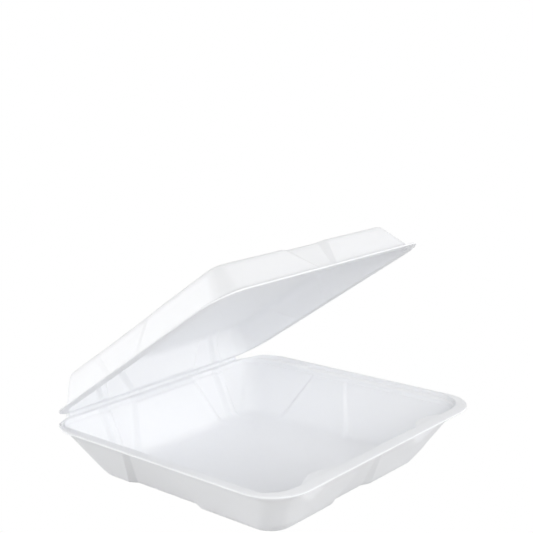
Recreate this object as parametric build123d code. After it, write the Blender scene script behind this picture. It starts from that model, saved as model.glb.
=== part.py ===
from build123d import *
import math
import os

# A hinged foam food container: a square tray and a shallower lid formed from one foam sheet.
# The two halves are joined along the back by a fold where the foam is crushed thin.
# Sizes are millimetres. +Z is up, X runs along the fold, and -Y is the front where it opens.
# The origin is the centre of the flat underside that the tray stands on.

# Foam sheet
sheet = 2.3
web_thickness = 0.8

# Tray: the outside of its flat floor, and its walls
tray_half_width = 86.5
tray_half_depth = 87.8
tray_corner = 16.0
tray_side_draft = 31.0
tray_front_draft = 30.0
tray_back_draft = 24.5
tray_floor_round = 6.0

# Tray rim: a ledge that the lid sits on, and a raised lip round three sides of it
ledge_height = 42.0
shoulder_drop = 3.4
shoulder_width = 1.1
lip_rise = 2.3
lip_flat_side = 2.8
lip_flat_front = 9.4
lip_slope = 1.9
lip_end_setback = 7.5
seat_draft = 40.0
rim_half_width = 120.5
rim_front_reach = 33.5
rim_front_corner = 30.0
rim_back_corner = 25.5
edge_round = 0.8

# Fold between the halves
fold_setback = 24.5
fold_half_length = 93.0
fold_end_gap = 2.5
fold_width = 2.0
fold_gap = 0.3

# Lid, as it lies when closed
lid_height = 24.3
lid_roof_inset_side = 27.5
lid_roof_inset_front = 26.2
lid_roof_inset_back = 18.5
lid_roof_corner = 10.0
lid_mouth_corner = 17.0
lid_side_draft = 28.0
lid_front_draft = 24.0
lid_back_draft = 24.0
lid_roof_round = 5.5
lid_mouth_flare = 1.0
lid_play = 0.7
lid_opening = 33.4

# Panels pressed into the walls: half width, step width and depth at the floor and at the rim
side_panel_centre = 15.0
side_panel_halves = (38.0, 24.0)
side_panel_steps = (8.0, 8.0)
side_panel_depths = (3.5, 1.8)
front_panel_halves = (27.0, 11.0)
front_panel_steps = (9.0, 3.0)
front_panel_depths = (3.3, 0.9)
back_panel_halves = (50.0, 36.0)
back_panel_steps = (4.0, 4.0)
back_panel_depths = (3.0, 3.0)

# Ribs pressed into the walls along the fold
rib_place = 63.0
rib_halves = (5.5, 5.5)
rib_steps = (3.5, 3.5)
rib_depths = (3.0, 3.0)

# Lock: a nib under the lid drops into a pocket in a landing of the ledge, on each side
lock_place = 65.0
landing_half = 15.5
landing_reach = 5.5
nib_half = 5.0
nib_thickness = 2.4
nib_drop = 2.8
nib_taper = 0.5
pocket_depth = 3.4
pocket_wall = 1.4

# Worked out from the sizes above
shoulder_height = ledge_height - shoulder_drop
ledge_under = ledge_height - sheet
lip_top = ledge_height + lip_rise
lip_under = lip_top - sheet
rim_front = -(tray_half_depth + rim_front_reach)
fold_y = tray_half_depth + fold_setback
fold_z = ledge_height + fold_gap / 2
flange_back = fold_y - fold_width
seat_z = ledge_height + fold_gap
lid_roof_half_width = rim_half_width - lid_roof_inset_side
lid_roof_front = -rim_front - lid_roof_inset_front
lid_roof_back = fold_y - lid_roof_inset_back
overcut = 6.0


def rise(draft, height):
    """How far a wall of this draft, in degrees, moves outward over a height."""
    return height * math.tan(math.radians(draft))


def through(draft):
    """The sheet's thickness measured level through a wall of this draft."""
    return sheet / math.cos(math.radians(draft))


def outline(half_width, front, back, front_corner, back_corner, z):
    """A level closed wire: a rectangle with two corner radii, symmetric about the YZ plane."""
    wf = half_width - front_corner
    wb = half_width - back_corner
    yf = front + front_corner
    yb = back - back_corner
    f = front_corner * math.sqrt(0.5)
    b = back_corner * math.sqrt(0.5)
    edges = [
        Line((-wf, front, z), (wf, front, z)),
        ThreePointArc((wf, front, z), (wf + f, yf - f, z), (half_width, yf, z)),
        Line((half_width, yf, z), (half_width, yb, z)),
        ThreePointArc((half_width, yb, z), (wb + b, yb + b, z), (wb, back, z)),
        Line((wb, back, z), (-wb, back, z)),
        ThreePointArc((-wb, back, z), (-wb - b, yb + b, z), (-half_width, yb, z)),
        Line((-half_width, yb, z), (-half_width, yf, z)),
        ThreePointArc((-half_width, yf, z), (-wf - f, yf - f, z), (-wf, front, z)),
    ]
    return Wire([edge.edge() for edge in edges])


def loft_between(*wires):
    """A solid with straight sides through the given closed wires, in order."""
    return Solid.make_loft(wires, ruled=True)


def block(x_low, x_high, y_low, y_high, z_low, z_high):
    """A plain box between two corners."""
    box = Solid.make_box(x_high - x_low, y_high - y_low, z_high - z_low)
    return box.moved(Location((x_low, y_low, z_low)))


def both_sides(solid):
    """The solid and its mirror image across the middle of the fold."""
    return [solid, solid.mirror(Plane.YZ)]


def edges_at(solid, z):
    """The solid's edges that lie level at a height."""
    return [e for e in solid.edges() if e.bounding_box().size.Z < 0.01 and abs(e.center().Z - z) < 0.01]


class Pan:
    """A drafted open box standing on its floor, which is one half of the container.

    The tray is one as it stands, and the lid is one turned upside down.
    """

    def __init__(self, half_width, front, back, corners, height, drafts, floor_round):
        self.reaches = {"side": half_width, "front": front, "back": back}
        self.corners = corners
        self.height = height
        self.drafts = drafts
        self.floor_round = floor_round

    def reach(self, wall, z, inner=False):
        """How far a wall's outer or inner face stands out from the pan's middle at a height."""
        draft = self.drafts[wall]
        return self.reaches[wall] + rise(draft, z) - (through(draft) if inner else 0.0)

    def section(self, z, inner=False, margin=0.0):
        """The level outline of the outside or of the hollow at a height, grown by a margin."""
        floor_corner, mouth_corner = self.corners
        corner = floor_corner + (mouth_corner - floor_corner) * z / self.height + margin
        corner -= through(self.drafts["side"]) if inner else 0.0
        half, front, back = (self.reach(wall, z, inner) + margin for wall in ("side", "front", "back"))
        return outline(half, -front, back, corner, corner, z)

    def outside(self):
        """The outside as a full block with its floor edge rounded."""
        solid = loft_between(self.section(0.0), self.section(self.height))
        return solid.fillet(self.floor_round, edges_at(solid, 0.0))

    def hollow(self):
        """The space inside as a full block with its floor edge rounded."""
        solid = loft_between(self.section(sheet, True), self.section(self.height, True))
        return solid.fillet(self.floor_round - sheet, edges_at(solid, sheet))

    def pressing(self, wall, centre, halves, steps, depths, inner):
        """The block that a panel or rib takes off one face of a wall.

        The half widths, step widths and depths are each given at the floor and at the rim.
        """

        def ring(proud):
            corners = []
            for z, sign in ((-overcut, -1), (-overcut, 1), (top, 1), (top, -1)):
                share = z / self.height
                half, step, depth = (a + (b - a) * share for a, b in (halves, steps, depths))
                reach = half + step * overcut / depth if proud else half - step
                out = self.reach(wall, z, inner) + (overcut if proud else -depth)
                along = centre + sign * reach
                place = {"side": (out, along, z), "front": (along, -out, z), "back": (along, out, z)}
                corners.append(Vector(*place[wall]))
            return Wire.make_polygon(corners, close=True)

        top = self.height + overcut
        return loft_between(ring(True), ring(False))

    def pressings(self, inner):
        """Every pressed panel and rib of the four walls, as blocks to take off."""
        side = self.pressing(
            "side", side_panel_centre, side_panel_halves, side_panel_steps, side_panel_depths, inner
        )
        front = self.pressing(
            "front", 0.0, front_panel_halves, front_panel_steps, front_panel_depths, inner
        )
        back = self.pressing("back", 0.0, back_panel_halves, back_panel_steps, back_panel_depths, inner)
        rib = self.pressing("back", rib_place, rib_halves, rib_steps, rib_depths, inner)
        return [front, back] + both_sides(side) + both_sides(rib)


def rim_outline(inset_side, inset_front, back, z):
    """The rim's outline at a height, moved in from its sides and its front."""
    front_corner = rim_front_corner - inset_side
    back_corner = rim_back_corner - inset_side
    return outline(rim_half_width - inset_side, rim_front + inset_front, back, front_corner, back_corner, z)


def lip_foot(grow, back, z):
    """The outline where the lip's inner slope meets the ledge, grown outward."""
    inset = lip_slope - grow
    return rim_outline(lip_flat_side + inset, lip_flat_front + inset, back, z)


def landing(shrink, top):
    """An upright round-fronted column that carries the right-hand lock pocket up to a height."""
    radius = (landing_half**2 + landing_reach**2) / (2 * landing_reach)
    wall_top = tray_pan.reach("front", shoulder_height, True)
    column = Solid.make_cylinder(radius - shrink, top + overcut)
    return column.moved(Location((lock_place, landing_reach - wall_top - radius, -overcut)))


def lock_pocket(wall, top):
    """The right-hand lock pocket as a block, grown by a wall on its sides and bottom."""
    front = rim_front + lip_flat_front + lip_slope
    reach = nib_half + lid_play + wall
    return block(
        lock_place - reach, lock_place + reach,
        front - wall, front + nib_thickness + 2 * lid_play + wall,
        ledge_height - pocket_depth - wall, top,
    )


def make_tray():
    """The tray: walls with pressed panels, a shoulder, the ledge, the lip and the lock pockets."""
    pan = tray_pan
    outside = pan.outside().cut(*pan.pressings(False))
    collar_reach = shoulder_width + sheet
    collar = loft_between(
        pan.section(shoulder_height - sheet - shoulder_width),
        pan.section(shoulder_height - sheet / 2, True, collar_reach),
        pan.section(ledge_under, True, collar_reach),
    )
    ledge = loft_between(
        lip_foot(0.0, flange_back - sheet, ledge_under),
        lip_foot(lip_slope, flange_back, lip_under),
    )
    lip = loft_between(
        rim_outline(0.0, 0.0, fold_y, lip_under),
        rim_outline(0.0, 0.0, fold_y, lip_top),
    )
    lip = lip.fillet(edge_round, edges_at(lip, lip_top))
    body = outside.fuse(collar, ledge, lip)
    body = body.cut(*both_sides(landing(sheet, ledge_under)))
    body = body.fuse(*both_sides(lock_pocket(pocket_wall, ledge_height)))

    landings = both_sides(landing(0.0, ledge_height))
    hollow = pan.hollow().cut(*pan.pressings(True), *landings)
    shoulder = loft_between(
        pan.section(shoulder_height, True, shoulder_width),
        pan.section(ledge_height - shoulder_width, True, shoulder_width),
        pan.section(ledge_height, True, 2 * shoulder_width),
    ).cut(*landings)
    lid_seat = loft_between(
        lip_foot(0.0, fold_y + shoulder_width, ledge_height),
        lip_foot(lip_slope + rise(seat_draft, overcut), fold_y + overcut, lip_top + overcut),
    )
    fold_end = fold_half_length + fold_end_gap
    fold_room = block(-fold_end, fold_end, flange_back, fold_y + overcut, 0.0, lip_top + overcut)
    lip_end = block(
        -rim_half_width, rim_half_width, fold_y - lip_end_setback, fold_y + overcut,
        ledge_height, lip_top + overcut,
    )
    body = body.cut(hollow, shoulder, lid_seat, lip_end, fold_room)
    body = body.cut(*both_sides(lock_pocket(0.0, lip_top)))
    web = block(
        -fold_half_length, fold_half_length, flange_back - sheet, fold_y - fold_gap / 2,
        ledge_height - web_thickness, ledge_height,
    )
    return body.fuse(web).clean()


def make_lid():
    """The lid, closed: walls with pressed panels, a flat flange and the two lock nibs."""
    pan = lid_pan
    outside = pan.outside().cut(*pan.pressings(False))
    hollow = pan.hollow().cut(*pan.pressings(True))
    flare = loft_between(
        pan.section(pan.height - lid_mouth_flare, True, -lid_mouth_flare / 2),
        pan.section(pan.height, True, lid_mouth_flare / 2),
    )
    under = pan.height - sheet
    flange = loft_between(
        lip_foot(-lid_play, flange_back - sheet, under),
        lip_foot(-lid_play, flange_back, pan.height),
    )
    flange = flange.fillet(edge_round / 2, edges_at(flange, under) + edges_at(flange, pan.height))
    body = outside.fuse(flange).cut(hollow, flare)
    body = body.mirror(Plane.XY).moved(Location((0, 0, seat_z + pan.height)))

    front = rim_front + lip_flat_front + lip_slope + lid_play
    nib = loft_between(
        nib_outline(front, nib_taper, seat_z - nib_drop),
        nib_outline(front, 0.0, seat_z - nib_drop / 2),
        nib_outline(front, 0.0, seat_z + sheet / 2),
    )
    web = block(
        -fold_half_length, fold_half_length, flange_back - sheet, fold_y - fold_gap / 2,
        seat_z, seat_z + web_thickness,
    )
    return body.fuse(web, *both_sides(nib)).clean()


def nib_outline(front, inset, z):
    """The outline of the right-hand nib at a height, moved in all round."""
    low = Vector(lock_place - nib_half + inset, front + inset, z)
    high = Vector(lock_place + nib_half - inset, front + nib_thickness - inset, z)
    corners = [low, Vector(high.X, low.Y, z), high, Vector(low.X, high.Y, z)]
    return Wire.make_polygon(corners, close=True)


tray_pan = Pan(
    tray_half_width, tray_half_depth, tray_half_depth, (tray_corner, tray_corner), shoulder_height,
    {"side": tray_side_draft, "front": tray_front_draft, "back": tray_back_draft}, tray_floor_round,
)
lid_pan = Pan(
    lid_roof_half_width, lid_roof_front, lid_roof_back, (lid_roof_corner, lid_mouth_corner), lid_height,
    {"side": lid_side_draft, "front": lid_front_draft, "back": lid_back_draft}, lid_roof_round,
)
tray = make_tray()
lid = make_lid().rotate(Axis((0, fold_y, fold_z), (-1, 0, 0)), lid_opening)

os.makedirs("parts", exist_ok=True)
export_step(tray, "parts/tray.step")
export_step(lid, "parts/lid.step")
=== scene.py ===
"""Looks of a hinged foam food container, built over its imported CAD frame.

Sizes are typed in millimetres as they were drawn and turned into metres where a mesh is made.
+Z is up, X runs along the fold, and -Y is the front.
"""

import logging
import math
from dataclasses import dataclass, replace
from enum import Enum

import bmesh
import bpy
import numpy as np
from mathutils import Matrix, Vector

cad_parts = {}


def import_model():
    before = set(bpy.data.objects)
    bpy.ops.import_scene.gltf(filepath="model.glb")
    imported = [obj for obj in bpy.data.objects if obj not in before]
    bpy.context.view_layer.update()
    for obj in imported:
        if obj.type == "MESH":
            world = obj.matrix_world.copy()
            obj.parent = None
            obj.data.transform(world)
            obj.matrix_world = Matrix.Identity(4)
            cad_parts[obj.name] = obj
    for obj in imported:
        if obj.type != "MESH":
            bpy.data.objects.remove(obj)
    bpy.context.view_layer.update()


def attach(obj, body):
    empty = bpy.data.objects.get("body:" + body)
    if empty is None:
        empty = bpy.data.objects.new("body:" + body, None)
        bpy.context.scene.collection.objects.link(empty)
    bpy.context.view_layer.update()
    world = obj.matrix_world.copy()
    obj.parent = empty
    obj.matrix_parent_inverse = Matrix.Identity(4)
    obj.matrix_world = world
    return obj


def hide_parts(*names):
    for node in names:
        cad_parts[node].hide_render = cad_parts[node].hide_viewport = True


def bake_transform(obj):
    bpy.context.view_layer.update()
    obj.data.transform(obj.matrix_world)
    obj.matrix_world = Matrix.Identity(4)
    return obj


MM = 0.001
LOG = logging.getLogger("foam_container")
WHITE = (1.0, 1.0, 1.0, 1.0)


class Skin(Enum):
    """The two faces of the foam sheet."""

    INNER = "inner"
    OUTER = "outer"


class Wall(Enum):
    """The four walls of a pan, in the order in which a loop runs round it."""

    FRONT = 0
    RIGHT = 1
    BACK = 2
    LEFT = 3


@dataclass(frozen=True)
class SheetSize:
    """The foam sheet, in mm.

    Args:
        thickness: How thick the foam is.
        edge: How thick the foam is at its trimmed edge, where the tool pinches it.
        web: How thick the crushed strip along the fold is.
    """

    thickness: float = 2.3
    edge: float = 1.5
    web: float = 0.8


@dataclass(frozen=True)
class FoldSize:
    """Where the fold runs, in mm.

    Args:
        y: The fold's distance behind the tray's middle.
        height: The height of the axis that the lid turns about.
        seat: The height of the lid's mating face when it is closed.
        half_length: Half the length of the crushed strip.
        flange_back: Where the even sheet ends and the crushed strip starts.
        opening: How far the lid stands open at rest, in degrees.
    """

    y: float = 112.3
    height: float = 42.15
    seat: float = 42.3
    half_length: float = 93.0
    flange_back: float = 110.3
    opening: float = 33.4


@dataclass(frozen=True)
class PanSize:
    """A drafted pan standing on its floor, in mm and degrees.

    Args:
        half: Half the width of the floor's outside.
        front: The floor's reach towards the front.
        back: The floor's reach towards the fold.
        floor_corner: Corner radius at the floor.
        mouth_corner: Corner radius at the mouth.
        height: Height of the sloping walls.
        side_draft: Draft of the side walls.
        front_draft: Draft of the front wall.
        back_draft: Draft of the wall along the fold.
        floor_round: Radius between the floor's outside and the walls.
        inner_round: Radius between the floor's inside and the walls.
    """

    half: float
    front: float
    back: float
    floor_corner: float
    mouth_corner: float
    height: float
    side_draft: float
    front_draft: float
    back_draft: float
    floor_round: float
    inner_round: float


@dataclass(frozen=True)
class PressSize:
    """A panel or rib pressed into a wall, in mm.

    Args:
        wall: The wall it is in.
        centre: Its place along the wall.
        halves: Its half width at the floor and at the rim.
        steps: The width of its sloping sides at the floor and at the rim.
        depths: How far it stands inward at the floor and at the rim.
    """

    wall: Wall
    centre: float
    halves: tuple[float, float]
    steps: tuple[float, float]
    depths: tuple[float, float]


@dataclass(frozen=True)
class LoopCount:
    """How finely a loop is sampled before its steps are rounded.

    Args:
        front: Longest span along the front wall, in mm.
        side: Longest span along the side walls, in mm.
        back: Longest span along the wall at the fold, in mm.
        corner: Number of spans in each corner.
        edge: Distance from a pressed edge to the samples beside it, in mm.
    """

    front: float = 2.1
    side: float = 3.6
    back: float = 3.2
    corner: int = 12
    edge: float = 0.8


@dataclass(frozen=True)
class Ring:
    """One level loop of a pan: a rectangle with rounded corners, in mm.

    Args:
        half: Half width.
        front: Reach towards the front.
        back: Reach towards the fold.
        front_corner: Radius of the two front corners.
        back_corner: Radius of the two corners at the fold.
        height: Height of the loop.
        fold_height: Height of the loop where it runs along the fold.
        press: Share of the panels' depth that this loop follows.
        landing: Share of the lock landings' reach that this loop follows.
    """

    half: float
    front: float
    back: float
    front_corner: float
    back_corner: float
    height: float
    fold_height: float
    press: float = 0.0
    landing: float = 0.0


@dataclass(frozen=True)
class WallStep:
    """One step of the turn between a wall and the face beside it, in mm.

    Args:
        level: Its height over the face that it is measured from.
        margin: How far it lies outside the wall's line at the mouth.
        press: Share of the panels' depth that it follows.
    """

    level: float
    margin: float
    press: float = 0.0


@dataclass(frozen=True)
class EdgeSize:
    """The outline of a trimmed edge, in mm.

    Args:
        half: Half width.
        front: Reach towards the front.
        front_corner: Radius of the two front corners.
        back_corner: Radius of the two corners at the fold.
    """

    half: float
    front: float
    front_corner: float
    back_corner: float


@dataclass(frozen=True)
class EdgeStep:
    """One step of a rounded edge, in mm.

    Args:
        inset: How far it lies inside the edge.
        level: Its height over the face that it is measured from.
        fold_drop: How far it lies under the sheet's top along the fold.
        back: Its reach towards the fold.
    """

    inset: float
    level: float
    fold_drop: float
    back: float


def smooth(low: float, high: float, value: np.ndarray) -> np.ndarray:
    """Eases each value, from 0 at the low mark to 1 at the high one."""
    share = np.clip((value - low) / (high - low), 0.0, 1.0)
    return share * share * (3.0 - 2.0 * share)


def between(first: Ring, last: Ring, share: float) -> Ring:
    """Gives the loop part of the way from one loop to another.

    Args:
        first: The loop at share 0.
        last: The loop at share 1.
        share: How far along the new loop lies.

    Returns:
        The loop in between, with no landing of its own.
    """
    names = ("half", "front", "back", "front_corner", "back_corner", "height", "fold_height", "press")
    sizes = {n: getattr(first, n) + (getattr(last, n) - getattr(first, n)) * share for n in names}
    return Ring(**sizes)


def refined(rows: np.ndarray) -> np.ndarray:
    """Rounds a skin's steps by one level of smooth subdivision.

    Args:
        rows: Loops by samples by x, y and z. The loops are closed, and the first and last stay put.

    Returns:
        The skin with twice as many samples each way.
    """
    before, after = np.roll(rows, 1, axis=1), np.roll(rows, -1, axis=1)
    wide = np.empty((rows.shape[0], rows.shape[1] * 2, 3))
    wide[:, 0::2] = (before + 6.0 * rows + after) / 8.0
    wide[:, 1::2] = (rows + after) / 2.0
    out = np.empty((rows.shape[0] * 2 - 1, wide.shape[1], 3))
    out[0::2] = wide
    out[2:-2:2] = (wide[:-2] + 6.0 * wide[1:-1] + wide[2:]) / 8.0
    out[1::2] = (wide[:-1] + wide[1:]) / 2.0
    return out


def quads(number: int, size: int) -> list[tuple[int, int, int, int]]:
    """Joins closed loops of equal size into four-sided faces.

    Args:
        number: How many loops.
        size: How many samples in each.

    Returns:
        The faces, as places in a list of the loops' points.
    """
    return [
        (i * size + j, i * size + (j + 1) % size, (i + 1) * size + (j + 1) % size, (i + 1) * size + j)
        for i in range(number - 1) for j in range(size)
    ]


def added(name: str, data: bpy.types.ID) -> bpy.types.Object:
    """Puts a new object into the scene.

    Args:
        name: Its name.
        data: Its mesh, lamp or camera.

    Returns:
        The object.
    """
    made = bpy.data.objects.new(name, data)
    bpy.context.scene.collection.objects.link(made)
    return made


def node(tree: bpy.types.NodeTree, kind: str, **inputs: object) -> bpy.types.Node:
    """Adds a shader node and sets some of its inputs.

    Args:
        tree: The nodes of a material or a world.
        kind: The kind of node.
        inputs: What to set, by the inputs' names with underscores for spaces.

    Returns:
        The new node.
    """
    made = tree.nodes.new("ShaderNode" + kind)
    for name, value in inputs.items():
        made.inputs[name.replace("_", " ")].default_value = value
    return made


def split_view(
    tree: bpy.types.NodeTree, lit: bpy.types.NodeSocket, seen: bpy.types.NodeSocket, out: bpy.types.NodeSocket
) -> None:
    """Lets the camera see one shader while the light meets another.

    Args:
        tree: The nodes of a material or a world.
        lit: The shader that the light meets.
        seen: The shader that the camera sees.
        out: Where the result goes.
    """
    path, pick = node(tree, "LightPath"), node(tree, "MixShader")
    tree.links.new(path.outputs["Is Camera Ray"], pick.inputs["Fac"])
    tree.links.new(lit, pick.inputs[1])
    tree.links.new(seen, pick.inputs[2])
    tree.links.new(pick.outputs["Shader"], out)


def finished(name: str, mesh: bpy.types.Mesh, body: bmesh.types.BMesh, finish: "Foam") -> bpy.types.Object:
    """Turns a mesh in work into a piece with its finish on.

    Faces of up to four corners are shaded smooth, and larger ones, such as the strip's ends, flat.

    Args:
        name: The piece's name.
        mesh: The mesh that takes the result.
        body: The mesh in work.
        finish: The foam's look.

    Returns:
        The new object.
    """
    bmesh.ops.recalc_face_normals(body, faces=body.faces)
    for face in body.faces:
        face.smooth = len(face.verts) <= 4
    body.to_mesh(mesh)
    body.free()
    piece = added(name, mesh)
    piece.data.materials.append(finish.material())
    return piece


class Columns:
    """Samples along one wall that keep to the leaning edges of what is pressed into it."""

    def __init__(self, presses: list[PressSize], reach: float, spacing: float, edge: float) -> None:
        """Lays out the samples.

        Args:
            presses: The panels and ribs in this wall.
            reach: About half the wall's straight length, in mm.
            spacing: The longest span, in mm.
            edge: Distance from a pressed edge to the samples beside it, in mm.
        """
        keys: list[tuple[float, float]] = []
        for press in presses:
            for sign in (-1.0, 1.0):
                for outer in (True, False):
                    floor, rim = (
                        press.centre + sign * (half - (0.0 if outer else step))
                        for half, step in zip(press.halves, press.steps)
                    )
                    keys += [(floor + offset, rim + offset) for offset in (-edge, 0.0, edge)]
        keys.sort(key=sum)
        self.reach = reach
        self.floor = np.array([k[0] for k in keys])
        self.rim = np.array([k[1] for k in keys])
        middle = [-reach, *((self.floor + self.rim) / 2.0), reach]
        spans = [max(1, round(abs(b - a) / spacing)) for a, b in zip(middle, middle[1:])]
        self.marks = np.concatenate([i + np.arange(n) / n for i, n in enumerate(spans)])

    def places(self, start: float, end: float, share: float) -> np.ndarray:
        """Places the samples on one loop.

        Args:
            start: Where the wall's straight part starts.
            end: Where it ends.
            share: How far up the wall the loop lies, from 0 to 1.

        Returns:
            The places along the wall, in mm. The end itself is left out.
        """
        room = min(1.0, (end - start) / (2.0 * self.reach))
        keys = (self.floor + (self.rim - self.floor) * share) * room
        stops = np.array([start, *keys, end])
        return np.interp(self.marks, np.arange(len(stops)), stops)


class Loop:
    """Samples rings at matching places round their outline, so that they join into a skin."""

    def __init__(self, count: LoopCount, presses: tuple[PressSize, ...], reach: float) -> None:
        """Lays out the samples.

        Args:
            count: How finely to sample.
            presses: What is pressed into the walls.
            reach: About half the length of the walls' straight parts, in mm.
        """
        self.corner = count.corner
        spacing = dict(zip(Wall, (count.front, count.side, count.back, count.side)))
        self.columns = {
            wall: Columns([p for p in presses if p.wall is wall], reach, spacing[wall], count.edge)
            for wall in Wall
        }
        kinds: list[Wall | None] = []
        for wall in Wall:
            kinds += [wall] * len(self.columns[wall].marks) + [None] * count.corner
        self.size = len(kinds)
        self.walls = {wall: np.array([kind is wall for kind in kinds]) for wall in Wall}

    def points(self, ring: Ring, share: float) -> np.ndarray:
        """Places a ring's samples.

        Args:
            ring: The loop to sample.
            share: How far up the walls it lies, from 0 to 1.

        Returns:
            One row of x and y for each sample, in mm.
        """
        wf, wb = ring.half - ring.front_corner, ring.half - ring.back_corner
        yf, yb = -ring.front + ring.front_corner, ring.back - ring.back_corner
        turns = np.radians(90.0 * np.arange(self.corner) / self.corner)

        def straight(wall: Wall, start: float, end: float, level: float) -> np.ndarray:
            """Places the samples on a wall's straight part.

            Args:
                wall: The wall.
                start: Where its straight part starts.
                end: Where it ends.
                level: The wall's distance from the middle.

            Returns:
                One row of x and y for each sample.
            """
            columns = self.columns[wall]
            along = columns.places(start, end, share)
            if wall in (Wall.BACK, Wall.LEFT):
                along = np.append(along[1:], end)[::-1]
            across = np.full(len(along), level)
            pair = (across, along) if wall in (Wall.RIGHT, Wall.LEFT) else (along, across)
            return np.column_stack(pair)

        def corner(x: float, y: float, radius: float, first: float) -> np.ndarray:
            """Places the samples of a corner round x and y, from a first angle in degrees."""
            angle = turns + math.radians(first)
            return np.column_stack((x + radius * np.cos(angle), y + radius * np.sin(angle)))

        return np.concatenate((
            straight(Wall.FRONT, -wf, wf, -ring.front),
            corner(wf, yf, ring.front_corner, -90.0),
            straight(Wall.RIGHT, yf, yb, ring.half),
            corner(wb, yb, ring.back_corner, 0.0),
            straight(Wall.BACK, -wb, wb, ring.back),
            corner(-wb, yb, ring.back_corner, 90.0),
            straight(Wall.LEFT, yf, yb, -ring.half),
            corner(-wf, yf, ring.front_corner, 180.0),
        ))


class FoamPan:
    """One half of the container: an even sheet pressed into a drafted pan.

    Attributes:
        sheet: The foam sheet.
        fold: Where the fold runs.
        count: How finely the loops are sampled.
        side_panels: The panels in the side walls.
        side_share: Share of the side panels' depth that this half has.
        front_panel: The panel in the front wall.
        back_presses: The panel and the ribs in the wall at the fold.
        floor_insets: The floor's loops, as inset in mm and share of the panels' depth.
        floor_corner_share, least_corner: How fast the floor's corners tighten, and the tightest, in mm.
        round_shares: The loops' places round the turn from floor to wall.
        wall_loops: Number of loops on a wall.
    """

    sheet = SheetSize()
    fold = FoldSize()
    count = LoopCount()
    side_panels = (
        PressSize(Wall.RIGHT, 15.0, (38.0, 17.5), (3.5, 2.0), (2.4, 1.4)),
        PressSize(Wall.LEFT, 15.0, (38.0, 17.5), (6.0, 5.0), (3.5, 1.8)),
    )
    side_share = 1.0
    front_panel = PressSize(Wall.FRONT, -2.5, (24.5, 8.5), (8.0, 3.0), (3.3, 1.2))
    back_presses = (
        PressSize(Wall.BACK, 0.0, (50.0, 36.0), (4.0, 4.0), (3.0, 3.0)),
        PressSize(Wall.BACK, 63.0, (5.5, 5.5), (3.5, 3.5), (3.0, 3.0)),
        PressSize(Wall.BACK, -63.0, (5.5, 5.5), (3.5, 3.5), (3.0, 3.0)),
    )
    floor_insets = ((74.0, 0.0), (58.0, 0.0), (42.0, 0.0), (28.0, 0.05), (17.0, 0.3), (9.0, 0.7))
    floor_corner_share = 0.6
    least_corner = 4.0
    round_shares = (0.0, 0.33, 0.67, 1.0)
    wall_loops = 8

    def __init__(self, name: str, size: PanSize, edge: EdgeSize) -> None:
        """Keeps the pan's sizes.

        Args:
            name: The piece's name in the scene.
            size: The pan's form.
            edge: The outline of its trimmed edge.
        """
        self.name = name
        self.size = size
        self.edge = edge
        sides = [
            replace(panel, depths=(panel.depths[0] * self.side_share, panel.depths[1] * self.side_share))
            for panel in self.side_panels
        ]
        self.presses = (*sides, self.front_panel, *self.back_presses)
        self.loop = Loop(self.count, self.presses, size.half - size.floor_corner)

    def reach(self, wall: Wall, z: float, skin: Skin) -> float:
        """Finds how far a wall stands out.

        Args:
            wall: The wall.
            z: Height above the floor's outside.
            skin: Which face of the sheet.

        Returns:
            The distance from the pan's middle, in mm.
        """
        start, draft = {
            Wall.FRONT: (self.size.front, self.size.front_draft),
            Wall.BACK: (self.size.back, self.size.back_draft),
            Wall.RIGHT: (self.size.half, self.size.side_draft),
            Wall.LEFT: (self.size.half, self.size.side_draft),
        }[wall]
        angle = math.radians(draft)
        through = self.sheet.thickness / math.cos(angle) if skin is Skin.INNER else 0.0
        return start + z * math.tan(angle) - through

    def wall_ring(self, z: float, skin: Skin, margin: float = 0.0, press: float = 1.0) -> Ring:
        """Makes the loop where a level plane meets the walls.

        Args:
            z: Height of the plane.
            skin: Which face of the sheet.
            margin: How far the loop is grown outward.
            press: Share of the panels' depth that it follows.

        Returns:
            The loop.
        """
        side = math.radians(self.size.side_draft)
        through = self.sheet.thickness / math.cos(side) if skin is Skin.INNER else 0.0
        spread = (self.size.mouth_corner - self.size.floor_corner) * z / self.size.height
        corner = self.size.floor_corner + spread - through + margin
        half, front, back = (self.reach(w, z, skin) + margin for w in (Wall.RIGHT, Wall.FRONT, Wall.BACK))
        return Ring(half, front, back, corner, corner, z, z, press)

    def floor_rings(self, skin: Skin) -> list[Ring]:
        """Makes the loops of the flat floor and of the round that leads up to the walls.

        Args:
            skin: Which face of the sheet.

        Returns:
            The loops, from the floor's middle outward.
        """
        level = self.sheet.thickness if skin is Skin.INNER else 0.0
        radius = self.size.inner_round if skin is Skin.INNER else self.size.floor_round
        side = math.radians(self.size.side_draft)
        tangent = radius * math.tan((math.pi / 2 - side) / 2)
        rise = tangent * math.cos(side)
        base = self.wall_ring(level, skin)
        rings = []
        for inset, press in self.floor_insets:
            corner = max(base.front_corner - inset * self.floor_corner_share, self.least_corner)
            half, front, back = base.half - inset, base.front - inset, base.back - inset
            rings.append(Ring(half, front, back, corner, corner, level, level, press))
        top = self.wall_ring(level + rise, skin)
        for u in self.round_shares:
            inward = (1.0 - u) ** 2 * tangent
            half, front, back = (
                getattr(base, n) - inward + u * u * (getattr(top, n) - getattr(base, n))
                for n in ("half", "front", "back")
            )
            corner = base.front_corner - inward + u * u * rise * math.tan(side)
            height = level + u * u * rise
            rings.append(Ring(half, front, back, corner, corner, height, height, 1.0))
        return rings

    def wall_rings(self, skin: Skin, top: float, number: int) -> list[Ring]:
        """Makes a number of loops going up a face of the walls, from the floor's round to a height."""
        start = self.floor_rings(skin)[-1].height
        return [self.wall_ring(start + (top - start) * k / number, skin) for k in range(1, number + 1)]

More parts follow.
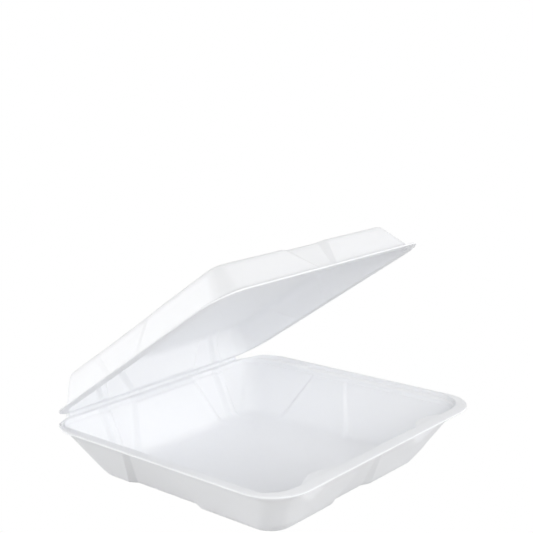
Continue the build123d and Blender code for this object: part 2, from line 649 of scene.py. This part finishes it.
    def turn_rings(
        self, steps: tuple[WallStep, ...], level: float, landing: float = 0.0, skin: Skin = Skin.INNER
    ) -> list[Ring]:
        """Makes the loops of a turn beside the mouth.

        Args:
            steps: The steps of the turn.
            level: Height of the face that they are measured from.
            landing: Share of the lock landings' reach that they follow.
            skin: Which face of the sheet they start from.

        Returns:
            The loops, one for each step.
        """
        mouth = self.size.height if skin is Skin.INNER else self.size.height - self.sheet.thickness
        rings = []
        for step in steps:
            ring = self.wall_ring(mouth, skin, step.margin, step.press)
            height = level + step.level
            rings.append(replace(ring, height=height, fold_height=height, landing=landing))
        return rings

    def edge_rings(self, steps: tuple[EdgeStep, ...], level: float, fold_level: float) -> list[Ring]:
        """Makes the loops of the trimmed edge.

        Args:
            steps: The steps of the edge.
            level: Height of the face that they are measured from.
            fold_level: Height of the sheet's top along the fold.

        Returns:
            The loops, one for each step.
        """
        edge = self.edge
        return [
            Ring(
                edge.half - s.inset, edge.front - s.inset, s.back, edge.front_corner - s.inset,
                edge.back_corner - s.inset, level + s.level, fold_level - s.fold_drop,
            )
            for s in steps
        ]

    def share(self, ring: Ring) -> float:
        """Finds how far up the walls a loop lies, from 0 at the floor to 1 at the mouth and above it."""
        return min(max(ring.height / self.size.height, 0.0), 1.0)

    def pressed(self, ring: Ring, points: np.ndarray) -> np.ndarray:
        """Moves a loop's samples inward where panels and ribs are pressed in.

        Args:
            ring: The loop.
            points: Its samples, in mm.

        Returns:
            The moved samples.
        """
        moved = points.copy()
        share = self.share(ring)
        for press in self.presses:
            pick = self.loop.walls[press.wall]
            side_on = press.wall in (Wall.LEFT, Wall.RIGHT)
            along, across = (1, 0) if side_on else (0, 1)
            half, step, depth = (a + (b - a) * share for a, b in (press.halves, press.steps, press.depths))
            place = np.abs(points[pick, along] - press.centre)
            sign = -1.0 if press.wall in (Wall.BACK, Wall.RIGHT) else 1.0
            amount = depth * ring.press * np.clip((half - place) / step, 0.0, 1.0)
            moved[pick, across] += sign * amount
        return moved

    def skin_points(self, rings: list[Ring]) -> np.ndarray:
        """Places every sample of a skin.

        Args:
            rings: The skin's loops.

        Returns:
            An array of loops by samples by x, y and z, in the pan's own frame, in mm.
        """
        rows = []
        for ring in rings:
            flat = self.pressed(ring, self.loop.points(ring, self.share(ring)))
            flat, height = self.detail(ring, flat)
            rows.append(np.column_stack((flat, height)))
        return np.array(rows)

    def detail(self, ring: Ring, flat: np.ndarray) -> tuple[np.ndarray, np.ndarray]:
        """Gives a loop's samples their heights. A half adds the details that only it has."""
        return flat, np.full(len(flat), ring.height)

    def placed(self, points: np.ndarray) -> np.ndarray:
        """Carries points, in mm, from the pan's own frame to the row's frame at rest."""
        return points

    def rings(self) -> list[Ring]:
        """Lists the loops of the whole skin, from the middle of one face, over the rim, to the other."""
        raise NotImplementedError

    def build(self, finish: "Foam") -> bpy.types.Object:
        """Makes the smooth mesh of this half.

        Args:
            finish: The foam's look.

        Returns:
            The new object, not yet riding on a body.
        """
        rows = refined(self.skin_points(self.rings()))
        number, size = rows.shape[:2]
        points = self.placed(rows.reshape(-1, 3)) * MM
        mesh = bpy.data.meshes.new(self.name)
        mesh.from_pydata([tuple(p) for p in points], [], quads(number, size))
        body = bmesh.new()
        body.from_mesh(mesh)
        body.verts.ensure_lookup_table()
        rims = [[body.verts[first + j] for j in range(size)] for first in (0, (number - 1) * size)]
        for rim in rims:
            self.cap(body, rim)
        return finished(self.name, mesh, body, finish)

    def cap(self, body: bmesh.types.BMesh, rim: list[bmesh.types.BMVert]) -> None:
        """Closes the middle of a floor with a flat fan.

        Args:
            body: The mesh in work.
            rim: The innermost loop.
        """
        middle = body.verts.new(sum((vert.co for vert in rim), Vector()) / len(rim))
        for first, second in zip(rim, rim[1:] + rim[:1]):
            body.faces.new((first, second, middle))


class Tray(FoamPan):
    """The lower half, with its shoulder, ledge, raised lip and lock landings, in mm.

    Attributes:
        ledge, lip_top: Heights of the ledge and of the lip.
        lip_fade: Where the lip starts and ends its fade towards the fold.
        lock_place: The landings' distance from the middle.
        landing_half, landing_reach: Half the width of a landing, and how far it stands inward.
        no_landing: The y that stands for no landing.
        wall_clear: Height over the floor where the landings may start.
        inner_loops, inner_stop: Number of loops inside the walls, and where they stop under the mouth.
        outer_top: Height of the last loop on the outside of the walls.
        shoulder_foot, shoulder_head: The shoulder's steps, from the mouth and from the ledge.
        ledge_edge, ledge_shares: The ledge's inner edge, and the loops' places across it.
        under_turn: The turn from the rim's underside to the wall.
        lip_foot, lip_crest: The loops at both ends of the lip's slope.
        slope_shares, flat_shares: The loops' places on the slope and on the lip's flat top.
        flat_end: Where the flat top ends.
        edge_top, edge_bottom: The rounds of the trimmed edge.
        edge_inside: Where the sheet is at its full thickness again.
        crest_under, foot_under_back: The underside's drop and reach at the fold.
    """

    ledge = 42.0
    lip_top = 44.3
    lip_fade = (95.0, 105.5)
    lock_place = 65.0
    landing_half = 15.5
    landing_reach = 5.5
    no_landing = -999.0
    wall_clear = 1.0
    inner_loops = 9
    inner_stop = 0.5
    outer_top = 35.0
    shoulder_foot = (WallStep(0.05, 0.2, 0.9), WallStep(0.3, 0.8, 0.75), WallStep(1.2, 1.15, 0.6))
    shoulder_head = (WallStep(-1.1, 1.3, 0.4), WallStep(-0.25, 1.75, 0.15))
    ledge_edge = (WallStep(0.0, 2.3),)
    ledge_shares = (0.0, 0.25, 0.5, 0.75, 0.93, 1.0)
    under_turn = (WallStep(0.0, 5.5), WallStep(0.0, 3.6), WallStep(-0.6, 3.4), WallStep(-2.0, 3.3))
    lip_foot = Ring(115.8, 110.05, 109.0, 25.3, 31.3, ledge, ledge)
    lip_crest = Ring(117.7, 111.9, 109.4, 27.2, 33.2, lip_top, ledge)
    slope_shares = (0.15, 0.85)
    flat_shares = (0.12, 0.6)
    flat_end = (EdgeStep(0.9, 0.0, 0.0, 109.8),)
    edge_top = (EdgeStep(0.12, -0.1, 0.0, 110.15), EdgeStep(0.0, -0.6, 0.25, 110.3))
    edge_bottom = (EdgeStep(0.0, 0.4, 0.55, 110.3), EdgeStep(0.3, 0.0, 0.8, 110.2))
    edge_inside = (EdgeStep(1.3, 0.0, 1.0, 109.9),)
    crest_under = (1.5, 109.2)
    foot_under_back = 108.2

    def __init__(self) -> None:
        """Sets the tray's form."""
        super().__init__("tray_foam", PanSize(
            half=86.5, front=87.8, back=87.8, floor_corner=16.0, mouth_corner=16.0, height=38.6,
            side_draft=31.0, front_draft=30.0, back_draft=24.5, floor_round=6.0, inner_round=11.0,
        ), EdgeSize(half=120.5, front=121.3, front_corner=30.0, back_corner=36.0))
        self.landing_radius = (self.landing_half**2 + self.landing_reach**2) / (2 * self.landing_reach)

    def inside(self) -> list[Ring]:
        """Lists the loops of the tray's inside.

        Returns:
            The loops, from the floor's middle to the foot of the lip.
        """
        top = self.size.height
        loops = self.floor_rings(Skin.INNER)
        loops += self.wall_rings(Skin.INNER, top - self.inner_stop, self.inner_loops)
        loops += self.turn_rings(self.shoulder_foot, top, 1.0)
        loops += self.turn_rings(self.shoulder_head, self.ledge, 1.0)
        edge = self.turn_rings(self.ledge_edge, self.ledge)[0]
        loops += [replace(between(edge, self.lip_foot, t), landing=1.0 - t) for t in self.ledge_shares]
        return loops

    def lip(self) -> list[Ring]:
        """Lists the loops of the raised lip.

        Returns:
            The loops, from its slope round the edge to its underside.
        """
        ledge, foot, crest = self.ledge, self.lip_foot, self.lip_crest
        under = ledge - self.sheet.thickness
        lip_under = self.lip_top - self.sheet.thickness
        edge_under = self.lip_top - self.sheet.edge
        end = self.edge_rings(self.flat_end, self.lip_top, ledge)
        crest_drop, crest_back = self.crest_under
        return [
            *(between(foot, crest, t) for t in self.slope_shares),
            crest,
            *(between(crest, end[0], t) for t in self.flat_shares),
            *end,
            *self.edge_rings(self.edge_top, self.lip_top, ledge),
            *self.edge_rings(self.edge_bottom, edge_under, ledge),
            *self.edge_rings(self.edge_inside, (edge_under + lip_under) / 2.0, ledge),
            replace(crest, height=lip_under, fold_height=ledge - crest_drop, back=crest_back),
            replace(foot, height=under, fold_height=under, back=self.foot_under_back),
        ]

    def rings(self) -> list[Ring]:
        """Lists the loops of the whole skin.

        Returns:
            The loops, from the middle of the floor's inside, over the rim, to its underside.
        """
        outer = self.turn_rings(self.under_turn, self.ledge - self.sheet.thickness, -1.0)
        outer += list(reversed(self.wall_rings(Skin.OUTER, self.outer_top, self.wall_loops)))
        outer += list(reversed(self.floor_rings(Skin.OUTER)))
        return self.inside() + self.lip() + outer

    def landing_line(self, x: np.ndarray, shrink: float) -> np.ndarray:
        """Finds the face of the lock landings.

        Args:
            x: Places along the front wall, in mm.
            shrink: How far the face lies behind the inner face of the sheet.

        Returns:
            The y of the face, far in front where there is no landing.
        """
        wall_top = self.reach(Wall.FRONT, self.size.height, Skin.INNER)
        radius = self.landing_radius
        offset = np.abs(np.abs(x) - self.lock_place)
        under_root = np.clip((radius - shrink) ** 2 - offset**2, 0.0, None)
        face = self.landing_reach - wall_top - radius + np.sqrt(under_root)
        return np.where(offset < radius - shrink, face, self.no_landing)

    def detail(self, ring: Ring, flat: np.ndarray) -> tuple[np.ndarray, np.ndarray]:
        """Adds the lock landings and lets the lip fade out towards the fold.

        Args:
            ring: The loop.
            flat: Its samples, in mm.

        Returns:
            The samples and their heights.
        """
        flat = flat.copy()
        front = self.loop.walls[Wall.FRONT]
        inner = ring.landing >= 0.0
        line = self.landing_line(flat[front, 0], 0.0 if inner else self.sheet.thickness)
        wall = ring.press > 0.0 and ring.height > self.sheet.thickness + self.wall_clear
        share = 1.0 if wall else abs(ring.landing)
        flat[front, 1] += share * np.maximum(line - flat[front, 1], 0.0)
        lip = 1.0 - smooth(*self.lip_fade, flat[:, 1])
        height = ring.fold_height + (ring.height - ring.fold_height) * lip
        return flat, height


class Lid(FoamPan):
    """The upper half, a shallower pan turned over, with a flat flange, in mm.

    Attributes:
        crush: Where the flange starts and ends its fade towards the fold.
        inner_stop: How far the loops on the inside stop under the mouth.
        outer_stop: How far those on the outside stop under the flange.
        mouth: The turn from the inside of the walls to the flange.
        flange_shares, flange_end: The loops' places across the flange, and where it ends.
        edge_top, edge_bottom: The rounds of the trimmed edge.
        under_turn: The turn from the flange's underside to the wall.
    """

    side_share = 0.3
    crush = (104.0, 108.0)
    inner_stop = 1.4
    outer_stop = 1.0
    mouth = (
        WallStep(-0.8, -0.1, 1.0), WallStep(-0.25, 0.15, 0.8), WallStep(0.0, 0.7, 0.5), WallStep(0.0, 1.6)
    )
    flange_shares = (0.3, 0.65)
    flange_end = (EdgeStep(0.8, 0.0, 0.0, 109.7),)
    edge_top = (EdgeStep(0.1, -0.1, 0.0, 110.1), EdgeStep(0.0, -0.8, 0.25, 110.3))
    edge_bottom = (
        EdgeStep(0.0, 0.5, 0.55, 110.3), EdgeStep(0.1, 0.1, 0.8, 110.2), EdgeStep(0.8, 0.0, 1.1, 109.8)
    )
    under_turn = (WallStep(0.0, 0.9, 0.5), WallStep(-0.3, 0.05, 1.0))

    def __init__(self) -> None:
        """Sets the lid's form."""
        super().__init__("lid_foam", PanSize(
            half=93.0, front=95.1, back=93.8, floor_corner=10.0, mouth_corner=17.0, height=24.3,
            side_draft=28.0, front_draft=24.0, back_draft=24.0, floor_round=5.5, inner_round=9.0,
        ), EdgeSize(half=115.1, front=109.3, front_corner=24.6, back_corner=32.0))

    def rings(self) -> list[Ring]:
        """Lists the loops of the whole skin.

        Returns:
            The loops, from the middle of the roof's inside, over the flange, to its outside.
        """
        top, under = self.size.height, self.size.height - self.sheet.thickness
        loops = self.floor_rings(Skin.INNER)
        loops += self.wall_rings(Skin.INNER, top - self.inner_stop, self.wall_loops)
        loops += self.turn_rings(self.mouth, top)
        last, end = loops[-1], self.edge_rings(self.flange_end, top, top)
        loops += [between(last, end[0], t) for t in self.flange_shares] + end
        loops += self.edge_rings(self.edge_top, top, top)
        loops += self.edge_rings(self.edge_bottom, top - self.sheet.edge, top)
        turn = self.turn_rings(self.under_turn, under, skin=Skin.OUTER)
        loops += [between(loops[-1], turn[0], 0.5), *turn]
        loops += list(reversed(self.wall_rings(Skin.OUTER, under - self.outer_stop, self.wall_loops)))
        loops += list(reversed(self.floor_rings(Skin.OUTER)))
        return loops

    def detail(self, ring: Ring, flat: np.ndarray) -> tuple[np.ndarray, np.ndarray]:
        """Gives a loop's samples their heights, with the flange crushed towards the fold."""
        even = 1.0 - smooth(*self.crush, flat[:, 1])
        return flat, ring.fold_height + (ring.height - ring.fold_height) * even

    def placed(self, points: np.ndarray) -> np.ndarray:
        """Turns the pan over onto the tray and opens it about the fold.

        Args:
            points: Rows of x, y and z, in mm.

        Returns:
            The carried rows, in mm.
        """
        fold = self.fold
        closed = points.copy()
        closed[:, 2] = fold.seat + self.size.height - points[:, 2]
        angle = math.radians(-fold.opening)
        y, z = closed[:, 1] - fold.y, closed[:, 2] - fold.height
        out = closed.copy()
        out[:, 1] = fold.y + y * math.cos(angle) - z * math.sin(angle)
        out[:, 2] = fold.height + y * math.sin(angle) + z * math.cos(angle)
        return out


class Fold:
    """The crushed strip of foam that joins the two halves, shaped for the lid's resting opening, in mm.

    Attributes:
        name: The piece's name in the scene.
        along: Number of spans along the strip.
        ridge: How uneven the crushed foam is, as a share of its section.
        waves: How quick its two waves are, in radians for each mm.
        wave_start: Where the second wave starts, in radians.
        overlap: How far the strip reaches into each half.
        fillet_start: How far from the axis the fillet starts.
        tuck: How far the strip's skins are tucked into the halves.
        arc: Number of spans round the bend.
    """

    name = "fold_strip"
    along = 120
    ridge = 0.06
    waves = (0.9, 0.23)
    wave_start = 1.0
    overlap = 3.7
    fillet_start = 5.5
    tuck = 0.06
    arc = 10

    def __init__(self, fold: FoldSize, sheet: SheetSize) -> None:
        """Keeps where the fold runs and the foam sheet."""
        self.fold = fold
        self.sheet = sheet

    def section(self) -> list[tuple[float, float]]:
        """Draws the strip's closed section round the fold, with a fillet between the two halves.

        Returns:
            Points of y and z about the fold's axis, in mm.
        """
        reach = self.fold.y - self.fold.flange_back + self.overlap
        face = self.fold.seat - self.fold.height
        skin = face + self.sheet.web
        opening = math.radians(self.fold.opening)

        def on_lid(y: float, z: float) -> tuple[float, float]:
            """Turns a point with the open lid."""
            cos, sin = math.cos(-opening), math.sin(-opening)
            return (y * cos - z * sin, y * sin + z * cos)

        distance = self.fillet_start / math.cos(opening / 2)
        middle = (-self.fillet_start, distance * math.sin(opening / 2))
        radius = middle[1] + face + self.tuck
        turns = [-math.pi / 2 + (math.pi - opening) * k / self.arc for k in range(self.arc + 1)]
        fillet = [(middle[0] + radius * math.cos(t), middle[1] + radius * math.sin(t)) for t in turns]
        bend = [(skin * math.cos(t), skin * math.sin(t)) for t in reversed(turns)]
        sunk = face + 2.0 * self.tuck
        lid_end = [on_lid(-reach, sunk), on_lid(-reach, skin)]
        return [(-reach, -sunk), *fillet, *lid_end, *bend, (-reach, -skin)]

    def build(self, finish: "Foam") -> bpy.types.Object:
        """Makes the strip.

        Args:
            finish: The foam's look.

        Returns:
            The new object, with no parent.
        """
        section = self.section()
        size = len(section)
        quick, slow = self.waves
        points = []
        for i in range(self.along + 1):
            x = -self.fold.half_length + 2 * self.fold.half_length * i / self.along
            wave = 1.0 + self.ridge * math.sin(x * quick) * math.sin(x * slow + self.wave_start)
            for y, z in section:
                points.append((x * MM, (self.fold.y + y * wave) * MM, (self.fold.height + z * wave) * MM))
        ends = [tuple(range(size)), tuple(self.along * size + j for j in range(size))]
        mesh = bpy.data.meshes.new(self.name)
        mesh.from_pydata(points, [], quads(self.along + 1, size) + ends)
        body = bmesh.new()
        body.from_mesh(mesh)
        return finished(self.name, mesh, body, finish)


@dataclass(frozen=True)
class Foam:
    """The look of pressed foam with a smooth skin.

    Args:
        name: The material's name.
        color: Base colour.
        shade: Share by which the colour varies from place to place.
        roughness: Mean roughness of the skin.
        grain: Size of the fine cells, in mm.
        grain_height: How high the fine cells stand, in mm.
        dimple: Size of the soft unevenness, in mm.
        dimple_height: How high the soft unevenness stands, in mm.
        dimple_layers: How many finer layers the soft unevenness has.
        broad: Size of the slow change of colour, in mm.
        sheen_spread: How far the roughness strays from its mean.
        glow: Share of light that passes through the skin.
        glow_depth: How deep that light goes, in m.
        glow_tint: How deep each colour goes, as a share of that.
    """

    name: str = "foam_skin"
    color: tuple[float, float, float] = (0.948, 0.957, 0.978)
    shade: float = 0.02
    roughness: float = 0.5
    grain: float = 0.9
    grain_height: float = 0.01
    dimple: float = 6.0
    dimple_height: float = 0.04
    dimple_layers: float = 3.0
    broad: float = 36.0
    sheen_spread: float = 0.06
    glow: float = 0.25
    glow_depth: float = 0.0015
    glow_tint: tuple[float, float, float] = (1.0, 1.0, 0.95)

    def material(self) -> bpy.types.Material:
        """Builds the material once and gives it back after that.

        Returns:
            The material.
        """
        found = bpy.data.materials.get(self.name)
        if found:
            return found
        made = bpy.data.materials.new(self.name)
        made.use_nodes = True
        tree, links = made.node_tree, made.node_tree.links
        skin = tree.nodes["Principled BSDF"]
        place = node(tree, "TexCoord")
        cells = node(tree, "TexVoronoi", Scale=1.0 / (self.grain * MM))
        clouds = node(tree, "TexNoise", Scale=1.0 / (self.dimple * MM), Detail=self.dimple_layers)
        broad = node(tree, "TexNoise", Scale=1.0 / (self.broad * MM))
        for texture in (cells, clouds, broad):
            links.new(place.outputs["Object"], texture.inputs["Vector"])
        low = node(tree, "Bump", Strength=1.0, Distance=self.dimple_height * MM)
        links.new(clouds.outputs["Fac"], low.inputs["Height"])
        fine = node(tree, "Bump", Strength=1.0, Distance=self.grain_height * MM)
        links.new(cells.outputs["Distance"], fine.inputs["Height"])
        links.new(low.outputs["Normal"], fine.inputs["Normal"])
        links.new(fine.outputs["Normal"], skin.inputs["Normal"])
        tone = node(tree, "Mix")
        tone.data_type = "RGBA"
        tone.inputs["A"].default_value = (*(c * (1.0 - self.shade) for c in self.color), 1.0)
        tone.inputs["B"].default_value = (*self.color, 1.0)
        links.new(broad.outputs["Fac"], tone.inputs["Factor"])
        links.new(tone.outputs["Result"], skin.inputs["Base Color"])
        low_sheen, high_sheen = self.roughness - self.sheen_spread, self.roughness + self.sheen_spread
        sheen = node(tree, "MapRange", To_Min=low_sheen, To_Max=high_sheen)
        links.new(clouds.outputs["Fac"], sheen.inputs["Value"])
        links.new(sheen.outputs["Result"], skin.inputs["Roughness"])
        skin.inputs["Subsurface Weight"].default_value = self.glow
        skin.inputs["Subsurface Radius"].default_value = self.glow_tint
        skin.inputs["Subsurface Scale"].default_value = self.glow_depth
        return made


@dataclass(frozen=True)
class CameraSetup:
    """The viewpoint of the photograph.

    Args:
        place: Where the camera stands, in m.
        yaw: Turn about Z, in degrees.
        pitch: How far it looks down, in degrees.
        roll: Tilt about its own axis, in degrees.
        lens: Focal length, in mm.
        shift: Upward shift of the picture, as a share of its width.
        sensor: Width of the sensor, in mm.
        sight: How far the camera sees, in m.
    """

    place: tuple[float, float, float] = (-0.5450, -0.4825, 0.30387)
    yaw: float = -48.97
    pitch: float = 17.94
    roll: float = -1.11
    lens: float = 69.13
    shift: float = 0.213
    sensor: float = 36.0
    sight: float = 20.0

    def build(self) -> bpy.types.Object:
        """Makes the camera and sets it as the scene's own.

        Returns:
            The camera object.
        """
        a, e, r = (math.radians(v) for v in (self.yaw, self.pitch, self.roll))
        back = Vector((math.sin(a) * math.cos(e), -math.cos(a) * math.cos(e), math.sin(e)))
        right = (-back).cross(Vector((0.0, 0.0, 1.0))).normalized()
        up = right.cross(-back)
        turned_right = right * math.cos(r) + up * math.sin(r)
        turned_up = up * math.cos(r) - right * math.sin(r)
        data = bpy.data.cameras.new("photo_view")
        data.sensor_width = self.sensor
        data.lens = self.lens
        data.shift_y = self.shift
        data.clip_end = self.sight
        camera = added("photo_view", data)
        turn = Matrix((turned_right, turned_up, back)).transposed().to_4x4()
        camera.matrix_world = Matrix.Translation(self.place) @ turn
        bpy.context.scene.camera = camera
        return camera


@dataclass(frozen=True)
class SoftBox:
    """A large soft lamp.

    Args:
        name: The lamp's name.
        place: Where it hangs, in m.
        size: Width of its face, in m.
        power: Its power, in W.
        aim: The point that it faces, in m.
    """

    name: str
    place: tuple[float, float, float]
    size: float
    power: float
    aim: tuple[float, float, float] = (0.0, 0.0, 0.06)

    def build(self) -> bpy.types.Object:
        """Hangs the lamp so that it faces the object.

        Returns:
            The lamp object.
        """
        data = bpy.data.lights.new(self.name, "AREA")
        data.size = self.size
        data.energy = self.power
        lamp = added(self.name, data)
        lamp.location = self.place
        way = Vector(self.aim) - Vector(self.place)
        lamp.rotation_euler = way.to_track_quat("-Z", "Y").to_euler()
        return lamp


@dataclass(frozen=True)
class Studio:
    """A plain white studio.

    Args:
        horizon: Brightness of the light from all round, level with the object.
        zenith: Brightness of the light from straight above.
        boxes: The soft lamps.
        floor_half: Half the width of the floor, in m.
        floor_drop: How far the floor lies below the tray, in m.
        floor_color: The floor's paint, as the lamps see it.
        floor_roughness: How dull the paint is.
        backdrop: Brightness of the backdrop and the floor, as the camera sees them.
    """

    horizon: float = 0.16
    zenith: float = 0.38
    boxes: tuple[SoftBox, ...] = (
        SoftBox("left_low", (-1.6, -0.3, 0.45), 1.0, 9.8),
        SoftBox("front", (-0.3, -1.6, 0.9), 1.2, 11.5),
        SoftBox("right", (1.5, -0.6, 0.8), 1.2, 4.5),
        SoftBox("front_right", (0.9, -1.4, 0.3), 1.0, 9.5),
        SoftBox("back_left", (-0.9, 1.5, 0.35), 1.0, 14.5),
        SoftBox("top_right", (0.9, -0.3, 1.6), 1.0, 3.0),
        SoftBox("back_right", (1.2, 0.9, 1.0), 1.0, 3.0),
    )
    floor_half: float = 3.0
    floor_drop: float = 0.0002
    floor_color: tuple[float, float, float, float] = (0.6, 0.6, 0.6, 1.0)
    floor_roughness: float = 0.8
    backdrop: float = 1.0

    def build(self) -> None:
        """Makes the backdrop, the floor and the lamps."""
        scene = bpy.context.scene
        scene.view_settings.view_transform = "Standard"
        world = bpy.data.worlds.new("white_room")
        scene.world = world
        world.use_nodes = True
        tree = world.node_tree
        ground = tree.nodes["Background"]
        ground.inputs["Color"].default_value = WHITE
        ways, parts = node(tree, "TexCoord"), node(tree, "SeparateXYZ")
        sky = node(tree, "MapRange", To_Min=self.horizon, To_Max=self.zenith)
        tree.links.new(ways.outputs["Generated"], parts.inputs["Vector"])
        tree.links.new(parts.outputs["Z"], sky.inputs["Value"])
        tree.links.new(sky.outputs["Result"], ground.inputs["Strength"])
        seen = node(tree, "Background", Color=WHITE, Strength=self.backdrop)
        out = tree.nodes["World Output"].inputs["Surface"]
        split_view(tree, ground.outputs["Background"], seen.outputs["Background"], out)
        self.floor()
        for box in self.boxes:
            box.build()

    def floor(self) -> None:
        """Lays the white floor that the tray stands on."""
        mesh = bpy.data.meshes.new("floor")
        h = self.floor_half
        z = -self.floor_drop
        mesh.from_pydata([(-h, -h, z), (h, -h, z), (h, h, z), (-h, h, z)], [], [(0, 1, 2, 3)])
        floor = added("floor", mesh)
        made = bpy.data.materials.new("floor_white")
        made.use_nodes = True
        tree = made.node_tree
        paint = tree.nodes["Principled BSDF"]
        paint.inputs["Base Color"].default_value = self.floor_color
        paint.inputs["Roughness"].default_value = self.floor_roughness
        glow = node(tree, "Emission", Strength=self.backdrop)
        out = tree.nodes["Material Output"].inputs["Surface"]
        split_view(tree, paint.outputs["BSDF"], glow.outputs["Emission"], out)
        floor.data.materials.append(made)


def main() -> None:
    """Builds the container's looks, the studio and the camera."""
    logging.basicConfig(level=logging.INFO, format="%(name)s: %(message)s")
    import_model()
    finish = Foam()
    for pan, body in ((Tray(), "tray"), (Lid(), "lid")):
        piece = pan.build(finish)
        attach(piece, body)
        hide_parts(body)
        LOG.info("%s: %d corners before smoothing", pan.name, len(piece.data.vertices))
    fold = Fold(FoamPan.fold, FoamPan.sheet)
    strip = fold.build(finish)
    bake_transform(strip)
    Studio().build()
    CameraSetup().build()


if __name__ == "__main__":
    main()
